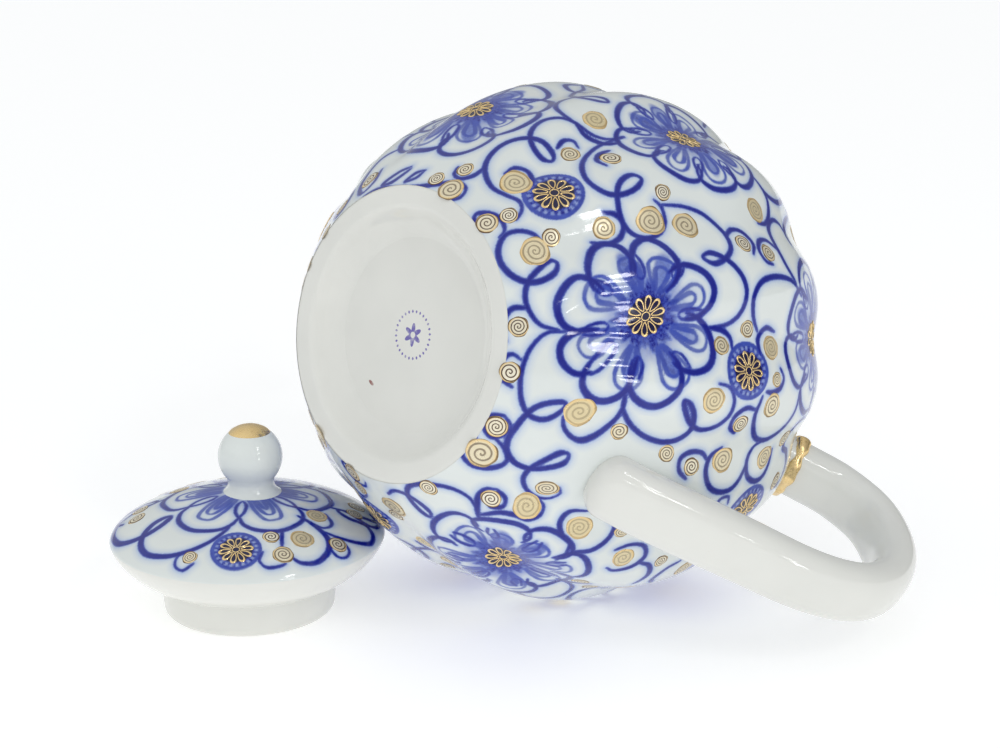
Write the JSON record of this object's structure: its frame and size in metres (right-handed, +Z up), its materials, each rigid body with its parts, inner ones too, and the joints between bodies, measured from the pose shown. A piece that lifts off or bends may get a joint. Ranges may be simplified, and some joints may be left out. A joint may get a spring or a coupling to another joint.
{
  "type": "teapot",
  "caption": "Round lobed porcelain teapot with blue painted flowers and gilded spirals, lying on its side beside its knobbed lift-off lid; strap handle opposite a curved spout.",
  "frame": {"origin": "centre of the group's box, on the table under the lying pot and the standing lid", "axes": "+X along the row of lid and pot, from the lid towards the handle; +Y away from the side that the foot faces; +Z up from the table"},
  "size_m": [0.2014, 0.1694, 0.1295],
  "materials": {
    "painted_porcelain": "white gloss glaze over blue painting",
    "white_porcelain": "white gloss glaze",
    "gold": "fired gilding"
  },
  "bodies": {
    "pot": {"pot_body": "painted_porcelain", "handle": "white_porcelain", "handle_collar": "gold", "spout": "painted_porcelain", "spout_gilding": "gold"},
    "lid": {"lid": "painted_porcelain", "lid_knob": "white_porcelain", "knob_gilding": "gold"}
  },
  "joints": [
    {"name": "lid_lift", "type": "slide", "parent": "pot", "child": "lid", "axis": [-0.6304, -0.1254, 0.7661], "range_m": [0, 0.12]}
  ]
}
